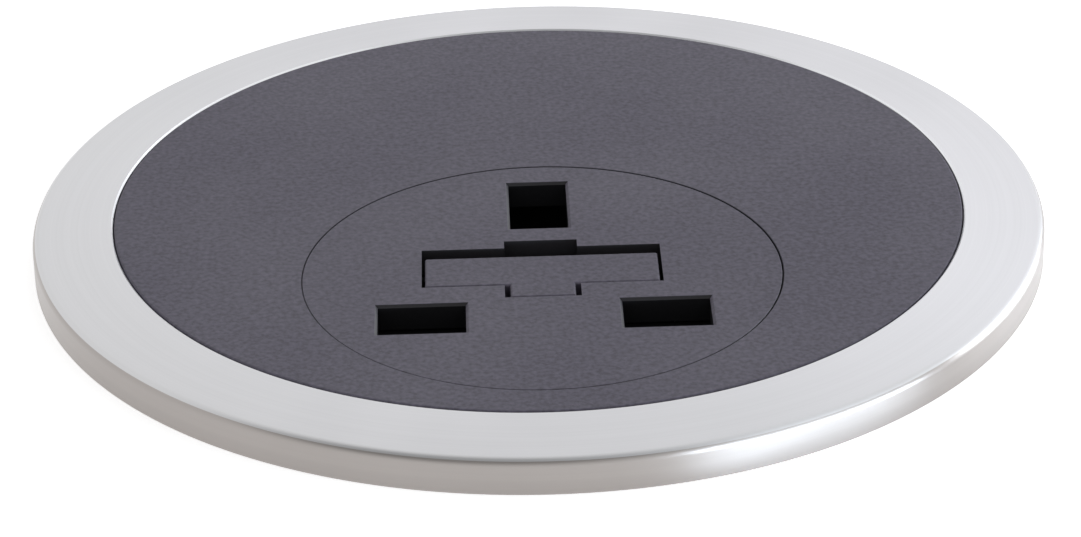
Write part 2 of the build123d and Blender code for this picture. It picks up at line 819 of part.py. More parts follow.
def pan_screw(x, y, seat, reach):
    head = disc(screw_head_radius, seat - screw_head_height, seat, x, y)
    head = fillet(edges_at(head, seat - screw_head_height), screw_head_edge)
    screw = head + disc(screw_radius, seat, seat + reach, x, y)
    return screw - recess(x, y, seat - screw_head_height, screw_head_radius)


def countersunk_screw(x, y, face, head_radius, shank_radius, head_height, reach):
    screw = revolved([
        (0, face),
        (head_radius, face),
        (shank_radius, face + head_height),
        (shank_radius, face + reach),
        (0, face + reach),
    ])
    return Pos(x, y, 0) * screw - recess(x, y, face, head_radius)


def make_bezel_screws():
    places = [on_circle(bezel_screw_circle, angle) for angle in bezel_screw_angles]
    return Compound(children=[
        countersunk_screw(x, y, flange_bottom, small_head_radius, small_screw_radius, small_head_height,
                          small_screw_reach)
        for x, y in places
    ])


def make_face_screws():
    places = [on_circle(lug_circle, angle) for angle in housing_lug_angles]
    return Compound(children=[pan_screw(x, y, face_screw_seat, screw_reach) for x, y in places])


def make_carrier_screws():
    screws = [pan_screw(x, y, carrier_shoulder, carrier_screw_reach) for x, y in boss_places()]
    return Compound(children=screws)


def make_base_screws():
    places = [on_circle(lug_circle, angle) for angle in base_lug_angles]
    return Compound(children=[
        countersunk_screw(x, y, base_bottom, base_head_radius, base_screw_radius, base_head_height,
                          base_screw_reach)
        for x, y in places
    ])


# Push-on sleeves and inner wires
def sleeve(x, y, along_x_axis, z0, z1, open_below):
    """A brass push-on sleeve around a connection tab."""
    long = tab_width / 2 + sleeve_fit
    short = tab_thickness / 2 + sleeve_fit
    du, dv = (long, short) if along_x_axis else (short, long)
    outer_u = du + sleeve_wall
    outer_v = dv + sleeve_wall
    outer = block(x - outer_u, x + outer_u, y - outer_v, y + outer_v, z0, z1)
    slot_low, slot_high = (z0, z0 + sleeve_overlap) if open_below else (z1 - sleeve_overlap, z1)
    return outer - block(x - du, x + du, y - dv, y + dv, slot_low, slot_high)


def contact_tabs():
    """Line, neutral and earth tabs under the carrier, and whether each lies along X."""
    return [
        (-clip_middle, socket_y + drawer_middle, True),
        (-live_u, socket_y + live_line, True),
        (0, socket_y + earth_line, False),
    ]


def make_wire_sleeves():
    sleeves = []
    for x, y, flat in contact_tabs():
        top = tab_end + sleeve_overlap
        sleeves.append(sleeve(x, y, flat, top - sleeve_length, top, False))
    for x, y in inlet_pin_places():
        bottom = inlet_back + inlet_tab_length - sleeve_overlap
        sleeves.append(sleeve(x, y, False, bottom, bottom + sleeve_length, True))
    return Compound(children=sleeves)


def wire(index, first_run, bends):
    """A round wire from an inlet pin's sleeve to a contact's, with bends as large as its runs allow."""
    x, y = inlet_pin_places()[index]
    tab_x, tab_y = contact_tabs()[index][:2]
    start = y - sleeve_half
    corners = [Vector(x, start, wire_top), Vector(x, start - first_run, wire_top)]
    corners += [Vector(tab_x + dx, tab_y + dy, wire_bottom + dz) for dx, dy, dz in bends]
    corners.append(Vector(tab_x, tab_y, wire_bottom))
    radii = []
    for before, here, after in zip(corners, corners[1:], corners[2:]):
        run_in = here - before
        run_out = after - here
        turn = math.radians(run_in.get_angle(run_out))
        radii.append(wire_bend_share * min(run_in.length, run_out.length) / math.tan(turn / 2))
    print("wire radii", [round(r, 1) for r in radii])
    path = FilletPolyline(*corners, radius=radii)
    section = Plane(origin=path @ 0, z_dir=path % 0) * Circle(wire_diameter / 2)
    return sweep(section, path=path)


parts = {
    "bezel_ring": make_bezel_ring(),
    "bezel_screws": make_bezel_screws(),
    "flange_gasket": make_flange_gasket(),
    "face_plate": make_face_plate(),
    "face_screws": make_face_screws(),
    "socket_insert": make_socket_insert(),
    "shutter": make_shutter(),
    "shutter_spring": make_shutter_spring(),
    "fuse_carrier": make_fuse_carrier(),
    "fuse_tube": make_fuse_tube(),
    "fuse_caps": make_fuse_caps(),
    "fuse_wire": make_fuse_wire(),
    "fuse_clip": make_fuse_clip(),
    "line_contact": make_line_contact(),
    "neutral_contact": make_neutral_contact(),
    "earth_contact": make_earth_contact(),
    "contact_carrier": make_contact_carrier(),
    "carrier_screws": make_carrier_screws(),
    "housing_barrel": make_housing_barrel(),
    "clamp_washer": make_clamp_washer(),
    "clamp_nut": make_clamp_nut(),
    "base_cover": make_base_cover(),
    "base_screws": make_base_screws(),
    "inlet_shell": make_inlet_shell(),
    "inlet_line_pin": make_inlet_pin(inlet_pin_places()[0]),
    "inlet_neutral_pin": make_inlet_pin(inlet_pin_places()[1]),
    "inlet_earth_pin": make_inlet_pin(inlet_pin_places()[2]),
    "wire_sleeves": make_wire_sleeves(),
    "line_wire": wire(0, line_wire_run, line_wire_bends),
    "neutral_wire": wire(1, neutral_wire_run, neutral_wire_bends),
    "earth_wire": wire(2, earth_wire_run, earth_wire_bends),
}

os.makedirs("parts", exist_ok=True)
for name, shape in parts.items():
    export_step(shape, f"parts/{name}.step")
    print(name, "volume", round(shape.volume, 2))
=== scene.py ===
# In-desk power module: finishes, stage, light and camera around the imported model
import bpy
import math
from mathutils import Matrix, Vector


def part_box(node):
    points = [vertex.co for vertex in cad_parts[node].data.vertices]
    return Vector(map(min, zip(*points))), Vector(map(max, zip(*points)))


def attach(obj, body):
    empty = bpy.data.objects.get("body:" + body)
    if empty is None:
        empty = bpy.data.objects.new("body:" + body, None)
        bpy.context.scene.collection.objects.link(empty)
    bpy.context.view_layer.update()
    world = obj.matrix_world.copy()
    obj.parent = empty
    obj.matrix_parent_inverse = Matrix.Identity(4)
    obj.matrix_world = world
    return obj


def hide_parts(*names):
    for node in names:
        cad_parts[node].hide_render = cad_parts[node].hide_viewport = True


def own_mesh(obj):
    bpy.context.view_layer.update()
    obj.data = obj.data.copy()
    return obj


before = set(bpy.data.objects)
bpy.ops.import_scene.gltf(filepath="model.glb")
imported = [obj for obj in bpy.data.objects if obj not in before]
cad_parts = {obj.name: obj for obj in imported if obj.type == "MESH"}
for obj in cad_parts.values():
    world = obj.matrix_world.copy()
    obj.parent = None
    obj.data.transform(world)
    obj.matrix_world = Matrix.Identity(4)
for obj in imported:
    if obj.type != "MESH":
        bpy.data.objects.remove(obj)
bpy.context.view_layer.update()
print("frame loaded with", len(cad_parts), "nodes")


# Camera, fitted to the ring, the seam circle and the apertures
cameraSettings = {
    "imageWidth": 1081,
    "focalPixels": 4000.0,
    "sensorWidth": 36.0,
    "target": (-0.00012, -0.01312, 0.00365),
    "azimuth": -1.0,
    "elevation": 27.47,
    "roll": -1.28,
    "distance": 0.36972,
    "clipStart": 0.01,
    "clipEnd": 20.0,
}


def addCamera(settings):
    around = math.radians(settings["azimuth"])
    above = math.radians(settings["elevation"])
    roll = math.radians(settings["roll"])
    back = Vector((math.sin(around) * math.cos(above),
                   -math.cos(around) * math.cos(above),
                   math.sin(above)))
    level = Vector((math.cos(around), math.sin(around), 0))
    upright = back.cross(level)
    right = level * math.cos(roll) + upright * math.sin(roll)
    up = upright * math.cos(roll) - level * math.sin(roll)
    place = Vector(settings["target"]) + back * settings["distance"]
    bpy.ops.object.camera_add(location=place)
    camera = bpy.context.object
    camera.name = "photoCamera"
    camera.rotation_euler = Matrix((right, up, back)).transposed().to_euler()
    camera.data.sensor_width = settings["sensorWidth"]
    camera.data.lens = settings["focalPixels"] / settings["imageWidth"] * settings["sensorWidth"]
    camera.data.clip_start = settings["clipStart"]
    camera.data.clip_end = settings["clipEnd"]
    bpy.context.scene.camera = camera


addCamera(cameraSettings)
print("camera placed")


# Light: an even room, a wide softbox behind, a low window at the right and a fill further back beside it
lightSettings = {
    "worldLight": 0.575,
    "dimCeiling": {"towards": (-0.22, -0.48, 0.85), "starts": 0.64, "ends": 0.93, "level": 0.38},
    "softboxes": [
        {"name": "backSoftbox", "place": (0.3, 0.94, 0.48), "size": (0.9, 0.65),
         "power": 0.55, "colour": (0.86, 0.86, 1.0)},
        {"name": "rightWindow", "place": (0.488, -0.342, 0.0), "size": (0.56, 0.1),
         "power": 4.7, "colour": (0.74, 0.87, 1.0)},
        {"name": "rightFill", "place": (0.72, 0.33, 0.1), "size": (0.5, 0.3),
         "power": 4.2, "colour": (0.86, 0.93, 1.0)},
    ],
}


# Each lamp points at the middle of the desk hole
def addSoftbox(settings):
    bpy.ops.object.light_add(type="AREA", location=settings["place"])
    lamp = bpy.context.object
    lamp.name = settings["name"]
    lamp.data.shape = "RECTANGLE"
    lamp.data.size, lamp.data.size_y = settings["size"]
    lamp.data.energy = settings["power"]
    lamp.data.color = settings["colour"]
    inwards = Vector((0, 0, 0)) - Vector(settings["place"])
    lamp.rotation_euler = inwards.to_track_quat("-Z", "Y").to_euler()


for softbox in lightSettings["softboxes"]:
    addSoftbox(softbox)


# Arithmetic on one socket, with another socket or a plain number
def addMath(nodes, links, operation, first, second):
    step = nodes.new("ShaderNodeMath")
    step.operation = operation
    links.new(first, step.inputs[0])
    if isinstance(second, float):
        step.inputs[1].default_value = second
    else:
        links.new(second, step.inputs[1])
    return step.outputs[0]


# 1 where the camera, a mirror or glass sees the surface, and 0 where it only gives light
def seenDirectly(nodes, links):
    path = nodes.new("ShaderNodeLightPath")
    sight = addMath(nodes, links, "MAXIMUM", path.outputs["Is Camera Ray"], path.outputs["Is Glossy Ray"])
    return addMath(nodes, links, "MAXIMUM", sight, path.outputs["Is Transmission Ray"])


# The ceiling in front of the object mirrors darker than the white walls
def setWorld(worldLight, ceiling):
    world = bpy.data.worlds.new("studioRoom")
    bpy.context.scene.world = world
    world.use_nodes = True
    nodes = world.node_tree.nodes
    links = world.node_tree.links
    background = nodes["Background"]
    background.inputs["Color"].default_value = (1, 1, 1, 1)
    way = nodes.new("ShaderNodeVectorMath")
    way.operation = "DOT_PRODUCT"
    way.inputs[1].default_value = ceiling["towards"]
    links.new(nodes.new("ShaderNodeTexCoord").outputs["Object"], way.inputs[0])
    dim = nodes.new("ShaderNodeMapRange")
    dim.interpolation_type = "SMOOTHSTEP"
    dim.inputs["From Min"].default_value = ceiling["starts"]
    dim.inputs["From Max"].default_value = ceiling["ends"]
    dim.inputs["To Min"].default_value = 1.0
    dim.inputs["To Max"].default_value = ceiling["level"]
    links.new(way.outputs["Value"], dim.inputs["Value"])
    strength = nodes.new("ShaderNodeMapRange")
    strength.inputs["To Min"].default_value = worldLight
    links.new(dim.outputs["Result"], strength.inputs["To Max"])
    links.new(seenDirectly(nodes, links), strength.inputs["Value"])
    links.new(strength.outputs["Result"], background.inputs["Strength"])


setWorld(lightSettings["worldLight"], lightSettings["dimCeiling"])
bpy.context.scene.view_settings.view_transform = "Standard"
print("light set")


# Stage: a sample of a desk top with its cable hole, over a plain floor
stageSettings = {
    "deskTop": {"left": -0.052, "right": 0.052, "front": -0.058, "back": 0.05, "thickness": 0.016, "hole": 0.04},
    "holeSides": 256,
    "edgeRounding": 0.0004,
    "edgeSteps": 3,
    "topTilt": 0.5,  # faces whose normal rises less than this are the board's sides
    "floorHeight": -0.0502,
    "floorSize": 6.0,
    "pale": {"colour": (0.86, 0.86, 0.86, 1), "glow": 0.6, "roughness": 0.9, "specular": 0.1},
    "boardEdge": {"colour": (0.32, 0.28, 0.23, 1), "glow": 0.0, "roughness": 0.9, "specular": 0.1},
}


def stageFinish(name, colour, glow, roughness, specular):
    material = bpy.data.materials.new(name)
    material.use_nodes = True
    nodes = material.node_tree.nodes
    links = material.node_tree.links
    surface = nodes["Principled BSDF"]
    surface.inputs["Base Color"].default_value = colour
    surface.inputs["Roughness"].default_value = roughness
    surface.inputs["Specular IOR Level"].default_value = specular
    shine = nodes.new("ShaderNodeEmission")
    links.new(addMath(nodes, links, "MULTIPLY", seenDirectly(nodes, links), glow), shine.inputs["Strength"])
    both = nodes.new("ShaderNodeAddShader")
    links.new(surface.outputs["BSDF"], both.inputs[0])
    links.new(shine.outputs["Emission"], both.inputs[1])
    links.new(both.outputs["Shader"], nodes["Material Output"].inputs["Surface"])
    return material


# What the mesh tools share, in metres and degrees
meshSettings = {
    "sharpAngle": 35,
    "smoothAngle": 30,
    "flatAngle": 0.4,
    "mergeDistance": 0.000002,
}


def pickOnly(piece):
    bpy.ops.object.select_all(action="DESELECT")
    piece.select_set(True)
    bpy.context.view_layer.objects.active = piece


def applyModifiers(piece):
    pickOnly(piece)
    for modifier in list(piece.modifiers):
        bpy.ops.object.modifier_apply(modifier=modifier.name)


def roundEdges(piece, width, segments=2):
    edge = piece.modifiers.new("softEdge", "BEVEL")
    edge.width = width
    edge.segments = segments
    edge.limit_method = "ANGLE"
    edge.angle_limit = math.radians(meshSettings["sharpAngle"])
    applyModifiers(piece)


def evenNormals(piece):
    even = piece.modifiers.new("evenNormals", "WEIGHTED_NORMAL")
    even.keep_sharp = True
    applyModifiers(piece)


def cutWith(piece, cutter):
    cut = piece.modifiers.new("cut", "BOOLEAN")
    cut.operation = "DIFFERENCE"
    cut.object = cutter
    applyModifiers(piece)
    bpy.data.objects.remove(cutter)


def addStage(settings):
    bpy.ops.object.select_all(action="DESELECT")
    desk = settings["deskTop"]
    boardMiddle = ((desk["left"] + desk["right"]) / 2, (desk["front"] + desk["back"]) / 2, -desk["thickness"] / 2)
    bpy.ops.mesh.primitive_cube_add(size=1, location=boardMiddle)
    board = bpy.context.object
    board.name = "deskSample"
    board.scale = (desk["right"] - desk["left"], desk["back"] - desk["front"], desk["thickness"])
    bpy.ops.object.transform_apply(location=True, rotation=False, scale=True)
    drillLength = desk["thickness"] * 3  # past both faces of the board
    bpy.ops.mesh.primitive_cylinder_add(vertices=settings["holeSides"], radius=desk["hole"], depth=drillLength)
    cutWith(board, bpy.context.object)
    roundEdges(board, settings["edgeRounding"], settings["edgeSteps"])
    bpy.ops.mesh.primitive_plane_add(size=settings["floorSize"], location=(0, 0, settings["floorHeight"]))
    floor = bpy.context.object
    floor.name = "studioFloor"
    pale = stageFinish("paleStage", **settings["pale"])
    boardEdge = stageFinish("boardEdge", **settings["boardEdge"])
    for piece in (board, floor):
        piece.data.materials.clear()
        piece.data.materials.append(pale)
    board.data.materials.append(boardEdge)
    for face in board.data.polygons:
        if face.normal.z < settings["topTilt"]:
            face.material_index = 1


addStage(stageSettings)
print("stage set")


# What the finishes share: how much detail each noise has, and how far the gloss drifts
finishSettings = {
    "grainDetail": 3.0,
    "marksDetail": 4.0,
    "sheathDetail": 2.0,
    "driftDetail": 2.0,
    "driftCoarser": 40,
    "turnedDrift": 60.0,
    "mouldedGloss": 0.04,
    "turnedGloss": 0.03,
    "noiseLow": 0.3,
    "noiseHigh": 0.7,
    "acrossMarks": 0.25,  # a quarter turn
}


# Nodes that every finish is built from
def emptyFinish(name):
    material = bpy.data.materials.new(name)
    material.use_nodes = True
    nodes = material.node_tree.nodes
    links = material.node_tree.links
    return material, nodes, links, nodes["Principled BSDF"]


def addNoise(nodes, links, place, scale, detail):
    noise = nodes.new("ShaderNodeTexNoise")
    noise.inputs["Scale"].default_value = scale
    noise.inputs["Detail"].default_value = detail
    links.new(place, noise.inputs["Vector"])
    return noise.outputs["Fac"]


def mapTo(nodes, links, value, low, high):
    spread = nodes.new("ShaderNodeMapRange")
    spread.inputs["From Min"].default_value = finishSettings["noiseLow"]
    spread.inputs["From Max"].default_value = finishSettings["noiseHigh"]
    spread.inputs["To Min"].default_value = low
    spread.inputs["To Max"].default_value = high
    links.new(value, spread.inputs["Value"])
    return spread.outputs["Result"]


def addBump(nodes, links, height, distance):
    bump = nodes.new("ShaderNodeBump")
    bump.inputs["Distance"].default_value = distance
    links.new(height, bump.inputs["Height"])
    return bump.outputs["Normal"]


def mixColours(nodes, links, value, low, high):
    mix = nodes.new("ShaderNodeMix")
    mix.data_type = "RGBA"
    mix.inputs["A"].default_value = low
    mix.inputs["B"].default_value = high
    links.new(value, mix.inputs["Factor"])
    return mix.outputs["Result"]


# The colour, a little darker and brighter with the noise
def tintBy(nodes, links, noise, colour, swing):
    darker = tuple(c * (1 - swing) for c in colour) + (1,)
    brighter = tuple(min(1, c * (1 + swing)) for c in colour) + (1,)
    return mixColours(nodes, links, mapTo(nodes, links, noise, 0, 1), darker, brighter)


# Moulded or plated surface: a fine grain, and a slow drift of its gloss
def grainedFinish(name, colour, roughness, grain, depth, metallic=0.0, swing=0.06, specular=0.5):
    material, nodes, links, surface = emptyFinish(name)
    place = nodes.new("ShaderNodeTexCoord").outputs["Object"]
    speckle = addNoise(nodes, links, place, grain, finishSettings["grainDetail"])
    drift = addNoise(nodes, links, place, grain / finishSettings["driftCoarser"], finishSettings["driftDetail"])
    links.new(tintBy(nodes, links, speckle, colour, swing), surface.inputs["Base Color"])
    gloss = finishSettings["mouldedGloss"]
    links.new(mapTo(nodes, links, drift, roughness - gloss, roughness + gloss), surface.inputs["Roughness"])
    surface.inputs["Metallic"].default_value = metallic
    surface.inputs["Specular IOR Level"].default_value = specular
    links.new(addBump(nodes, links, speckle, depth), surface.inputs["Normal"])
    return material


# Turned metal: rings of fine tool marks round Z, and a gloss that stretches across them
def turnedFinish(name, colour, roughness, marks, depth, anisotropy=0.6, swing=0.03):
    material, nodes, links, surface = emptyFinish(name)
    place = nodes.new("ShaderNodeTexCoord").outputs["Object"]
    split = nodes.new("ShaderNodeSeparateXYZ")
    links.new(place, split.inputs[0])
    flat = nodes.new("ShaderNodeCombineXYZ")
    links.new(split.outputs["X"], flat.inputs["X"])
    links.new(split.outputs["Y"], flat.inputs["Y"])
    radius = nodes.new("ShaderNodeVectorMath")
    radius.operation = "LENGTH"
    links.new(flat.outputs[0], radius.inputs[0])
    across = nodes.new("ShaderNodeCombineXYZ")
    links.new(radius.outputs["Value"], across.inputs["X"])
    links.new(split.outputs["Z"], across.inputs["Z"])
    lines = addNoise(nodes, links, across.outputs[0], marks, finishSettings["marksDetail"])
    drift = addNoise(nodes, links, place, finishSettings["turnedDrift"], finishSettings["driftDetail"])
    links.new(tintBy(nodes, links, lines, colour, swing), surface.inputs["Base Color"])
    gloss = finishSettings["turnedGloss"]
    links.new(mapTo(nodes, links, drift, roughness - gloss, roughness + gloss), surface.inputs["Roughness"])
    surface.inputs["Metallic"].default_value = 1.0
    surface.inputs["Anisotropic"].default_value = anisotropy
    surface.inputs["Anisotropic Rotation"].default_value = finishSettings["acrossMarks"]
    along = nodes.new("ShaderNodeTangent")
    along.direction_type = "RADIAL"
    along.axis = "Z"
    links.new(along.outputs["Tangent"], surface.inputs["Tangent"])
    links.new(addBump(nodes, links, lines, depth), surface.inputs["Normal"])
    return material


def giveFinishes(piece, *finishes):
    piece.data.materials.clear()
    for finish in finishes:
        piece.data.materials.append(finish)


def finishNodes(names, *finishes):
    for name in names:
        giveFinishes(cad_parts[name], *finishes)


# A copy of a CAD node, merged, with its edges rounded as a mould or a tool leaves them
def softenedCopy(node, name, body, width):
    piece = bpy.data.objects.new(name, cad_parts[node].data.copy())
    bpy.context.collection.objects.link(piece)
    pickOnly(piece)
    if piece.data.has_custom_normals:
        bpy.ops.mesh.customdata_custom_splitnormals_clear()
    bpy.ops.object.mode_set(mode="EDIT")
    bpy.ops.mesh.select_all(action="SELECT")
    bpy.ops.mesh.remove_doubles(threshold=meshSettings["mergeDistance"])
    bpy.ops.mesh.dissolve_limited(angle_limit=math.radians(meshSettings["flatAngle"]))
    bpy.ops.object.mode_set(mode="OBJECT")
    roundEdges(piece, width)
    bpy.ops.object.shade_smooth_by_angle(angle=math.radians(meshSettings["smoothAngle"]))
    evenNormals(piece)
    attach(piece, body)
    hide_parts(node)
    return piece


# Faces whose middle passes the test take the finish in that place of the piece's list
def finishFaces(piece, index, test):
    for face in piece.data.polygons:
        if test(face.center, face.normal):
            face.material_index = index


# Trim ring, turned from aluminium: radius and height of each turned edge, from the inner foot round
trimRing = {
    "slices": 288,
    "inside": ((0.0404, 0.0019), (0.0404, 0.00376), (0.04056, 0.0039)),
    "shoulder": {"middle": (0.0472, 0.00268), "radius": 0.0008, "steps": 10, "starts": 86},
    "outside": ((0.048, 0.00012), (0.04788, 0.0), (0.0467, 0.0), (0.0467, 0.0019)),
    "topFinish": {"colour": (0.605, 0.605, 0.615), "roughness": 0.36,
                  "marks": 3400.0, "depth": 0.000003, "swing": 0.022},
    # Painted reflection: the side is a darker, warmer copy of the same aluminium, standing in for dark surroundings
    # mirrored in it
    "sidePaintedReflection": {"colour": (0.385, 0.357, 0.342), "roughness": 0.32,
                   "marks": 1800.0, "depth": 0.000006, "anisotropy": 0.8},
    "sideOutside": 0.0478,  # the side is further out than this
    "sideTilt": 0.64,  # and its normals rise less than this
    # Painted highlight: the inner lip is a brighter copy of the same aluminium, standing in for a bright line of
    # light along it
    "innerPaintedHighlight": {"colour": (0.82, 0.83, 0.85), "roughness": 0.3,
                    "marks": 2600.0, "depth": 0.000002, "swing": 0.01},
    "innerInside": 0.04055,  # the inner lip is further in than this
}


def ringProfile(settings):
    shoulder = settings["shoulder"]
    radius, height = shoulder["middle"]
    points = list(settings["inside"])
    for step in range(shoulder["steps"] + 1):
        around = math.radians(shoulder["starts"] * (1 - step / shoulder["steps"]))
        points.append((radius + shoulder["radius"] * math.cos(around),
                       height + shoulder["radius"] * math.sin(around)))
    return points + list(settings["outside"])


def addTrimRing(settings):
    profile = ringProfile(settings)
    footRadius, footHeight = profile[0]
    bpy.ops.object.select_all(action="DESELECT")
    bpy.ops.mesh.primitive_circle_add(vertices=settings["slices"], radius=footRadius, location=(0, 0, footHeight))
    ring = bpy.context.object
    ring.name = "trimRing"
    bpy.ops.object.transform_apply(location=True)
    bpy.ops.object.mode_set(mode="EDIT")
    bpy.ops.mesh.select_all(action="SELECT")
    for (radius, height), (nextRadius, nextHeight) in zip(profile, profile[1:] + profile[:1]):
        bpy.ops.mesh.extrude_region_move(TRANSFORM_OT_translate={"value": (0, 0, nextHeight - height)})
        wider = nextRadius / radius
        bpy.ops.transform.resize(value=(wider, wider, 1), center_override=(0, 0, 0))
    bpy.ops.mesh.select_all(action="SELECT")
    bpy.ops.mesh.remove_doubles(threshold=meshSettings["mergeDistance"])
    bpy.ops.mesh.normals_make_consistent(inside=False)
    bpy.ops.object.mode_set(mode="OBJECT")
    return ring


ring = addTrimRing(trimRing)
bpy.ops.object.shade_smooth_by_angle(angle=math.radians(meshSettings["smoothAngle"]))
giveFinishes(ring,
             turnedFinish("turnedAluminium", **trimRing["topFinish"]),
             turnedFinish("turnedSidePaintedDark", **trimRing["sidePaintedReflection"]),
             turnedFinish("turnedInsidePaintedBright", **trimRing["innerPaintedHighlight"]))
# The side takes the painted reflection and the inner lip takes the painted highlight, chosen by place on the ring
finishFaces(ring, 1, lambda middle, normal: middle.xy.length > trimRing["sideOutside"]
            and normal.z < trimRing["sideTilt"])
finishFaces(ring, 2, lambda middle, normal: middle.xy.length < trimRing["innerInside"])
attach(ring, "housing")
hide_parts("bezel_ring")
print("trim ring made")


# Face plate, socket insert and fuse drawer, moulded from one dark grey plastic
facePieces = {
    "edges": {"face_plate": 0.0002, "socket_insert": 0.0001, "fuse_carrier": 0.00008},
    "finish": {"colour": (0.084, 0.0765, 0.106), "roughness": 0.56,
               "grain": 2100.0, "depth": 0.000028, "swing": 0.3, "specular": 0.4},
    # Painted shade: near black for the insert's faces deep in the apertures and the notch, where shade falls
    "shade": {"colour": (0.011, 0.011, 0.0125), "roughness": 0.8,
              "grain": 2000.0, "depth": 0.00001, "specular": 0.08},
    # Painted shade, lighter than the one deep inside: the upper band of the walls that face the front, and the far
    # wall of the notch
    "wall": {"colour": (0.021, 0.02, 0.023), "roughness": 0.5,
             "grain": 2600.0, "depth": 0.00001, "specular": 0.3},
    # Painted highlight through gloss: a glossier, darker copy of the face plastic for the rims that face right
    "edge": {"colour": (0.06, 0.058, 0.066), "roughness": 0.3,
             "grain": 2600.0, "depth": 0.00001, "specular": 0.5},
    # Painted shade along the rounded edge of the seam
    "seam": {"colour": (0.036, 0.034, 0.044), "roughness": 0.7,
             "grain": 2600.0, "depth": 0.00001, "specular": 0.2},
    "seamReach": 0.0003,  # the seam's rounded edge ends this far outside the insert
    "seamTilt": 0.98,  # and its normals rise less than this
    "shadeBelow": 0.0006,  # this and the next two are depths below the top of the face
    "wallBelow": 0.0012,
    "rimBelow": 0.00003,
    "notchReach": 0.004,  # the notch is this near to the back of the drawer
    "wallTilt": 0.25,  # a wall's normal leans more than this to its side
}
faceFinish = grainedFinish("facePlastic", **facePieces["finish"])
shadeFinish = grainedFinish("paintedShadePlastic", **facePieces["shade"])
wallShadeFinish = grainedFinish("wallPaintedShade", **facePieces["wall"])
rimHighlightFinish = grainedFinish("rimPaintedHighlight", **facePieces["edge"])
seamFinish = grainedFinish("seamShade", **facePieces["seam"])
faceEdges = facePieces["edges"]
facePlate = softenedCopy("face_plate", "facePlate", "housing", faceEdges["face_plate"])
socketInsert = softenedCopy("socket_insert", "socketInsert", "housing", faceEdges["socket_insert"])
fuseDrawer = softenedCopy("fuse_carrier", "fuseDrawer", "fuse_drawer", faceEdges["fuse_carrier"])
giveFinishes(facePlate, faceFinish, seamFinish)
giveFinishes(fuseDrawer, faceFinish)
giveFinishes(socketInsert, faceFinish, shadeFinish, wallShadeFinish, rimHighlightFinish)

# The seam's rounded edge is painted dark: painted shade along the seam between the face plate and the insert
insertLow, insertHigh = (Vector(corner).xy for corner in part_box("socket_insert"))
insertMiddle = (insertLow + insertHigh) / 2
seamRadius = (insertHigh.x - insertLow.x) / 2 + facePieces["seamReach"]
finishFaces(facePlate, 1, lambda middle, normal: normal.z < facePieces["seamTilt"]
            and (middle.xy - insertMiddle).length < seamRadius)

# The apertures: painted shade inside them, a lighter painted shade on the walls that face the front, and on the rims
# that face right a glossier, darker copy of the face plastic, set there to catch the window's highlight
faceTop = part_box("face_plate")[1][2]
shadeTop = faceTop - facePieces["shadeBelow"]
wallFoot = faceTop - facePieces["wallBelow"]
rimTop = faceTop - facePieces["rimBelow"]
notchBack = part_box("fuse_carrier")[1][1]
wallTilt = facePieces["wallTilt"]
# Painted shade on every face of the insert deeper than shadeTop
finishFaces(socketInsert, 1, lambda middle, normal: middle.z < shadeTop)
# Painted shade on the upper band of the walls that face the front
finishFaces(socketInsert, 2, lambda middle, normal: normal.y < -wallTilt and wallFoot < middle.z < rimTop)
# Painted shade on the far wall of the notch
finishFaces(socketInsert, 2, lambda middle, normal: normal.y < -wallTilt
            and abs(middle.y - notchBack) < facePieces["notchReach"])
# Painted highlight: the rims that face right take the glossier copy, chosen by side so they catch the window's
# highlight
finishFaces(socketInsert, 3, lambda middle, normal: normal.x > wallTilt and shadeTop < middle.z < rimTop)
print("face made")


# Housing, gasket, pressure ring and ring nut
clampPieces = {
    "edges": {"housing_barrel": 0.0001, "clamp_washer": 0.0002, "clamp_nut": 0.0002},
    "barrel": {"colour": (0.018, 0.018, 0.019), "roughness": 0.5, "grain": 1500.0, "depth": 0.00001},
    "nut": {"colour": (0.024, 0.024, 0.026), "roughness": 0.45, "grain": 1500.0, "depth": 0.00001},
    "washer": {"colour": (0.035, 0.035, 0.037), "roughness": 0.75, "grain": 2000.0, "depth": 0.00003},
    "foam": {"colour": (0.02, 0.02, 0.02), "roughness": 0.9, "grain": 3000.0, "depth": 0.00008},
}
clampEdges = clampPieces["edges"]
barrel = softenedCopy("housing_barrel", "housingBarrel", "housing", clampEdges["housing_barrel"])
giveFinishes(barrel, grainedFinish("housingPlastic", **clampPieces["barrel"]))
washer = softenedCopy("clamp_washer", "clampWasher", "clamp_washer", clampEdges["clamp_washer"])
giveFinishes(washer, grainedFinish("washerRubber", **clampPieces["washer"]))
nut = softenedCopy("clamp_nut", "clampNut", "clamp_nut", clampEdges["clamp_nut"])
giveFinishes(nut, grainedFinish("nutPlastic", **clampPieces["nut"]))
finishNodes(["flange_gasket"], grainedFinish("foamRubber", **clampPieces["foam"]))
print("housing and clamp made")


# Base cover and mains inlet
basePieces = {
    "edges": {"base_cover": 0.0002, "inlet_shell": 0.0002},
    "cover": {"colour": (0.02, 0.02, 0.021), "roughness": 0.55, "grain": 2500.0, "depth": 0.00002},
    "inlet": {"colour": (0.012, 0.012, 0.012), "roughness": 0.3, "grain": 1200.0, "depth": 0.000004},
    "pins": {"colour": (0.72, 0.7, 0.67), "roughness": 0.22, "grain": 900.0, "depth": 0.000003, "metallic": 1.0},
}
baseEdges = basePieces["edges"]
cover = softenedCopy("base_cover", "baseCover", "housing", baseEdges["base_cover"])
giveFinishes(cover, grainedFinish("basePlastic", **basePieces["cover"]))
inlet = softenedCopy("inlet_shell", "inletShell", "housing", baseEdges["inlet_shell"])
giveFinishes(inlet, grainedFinish("inletPlastic", **basePieces["inlet"]))
pinFinish = grainedFinish("pinNickel", **basePieces["pins"])
finishNodes(["inlet_line_pin", "inlet_neutral_pin", "inlet_earth_pin"], pinFinish)
print("base made")


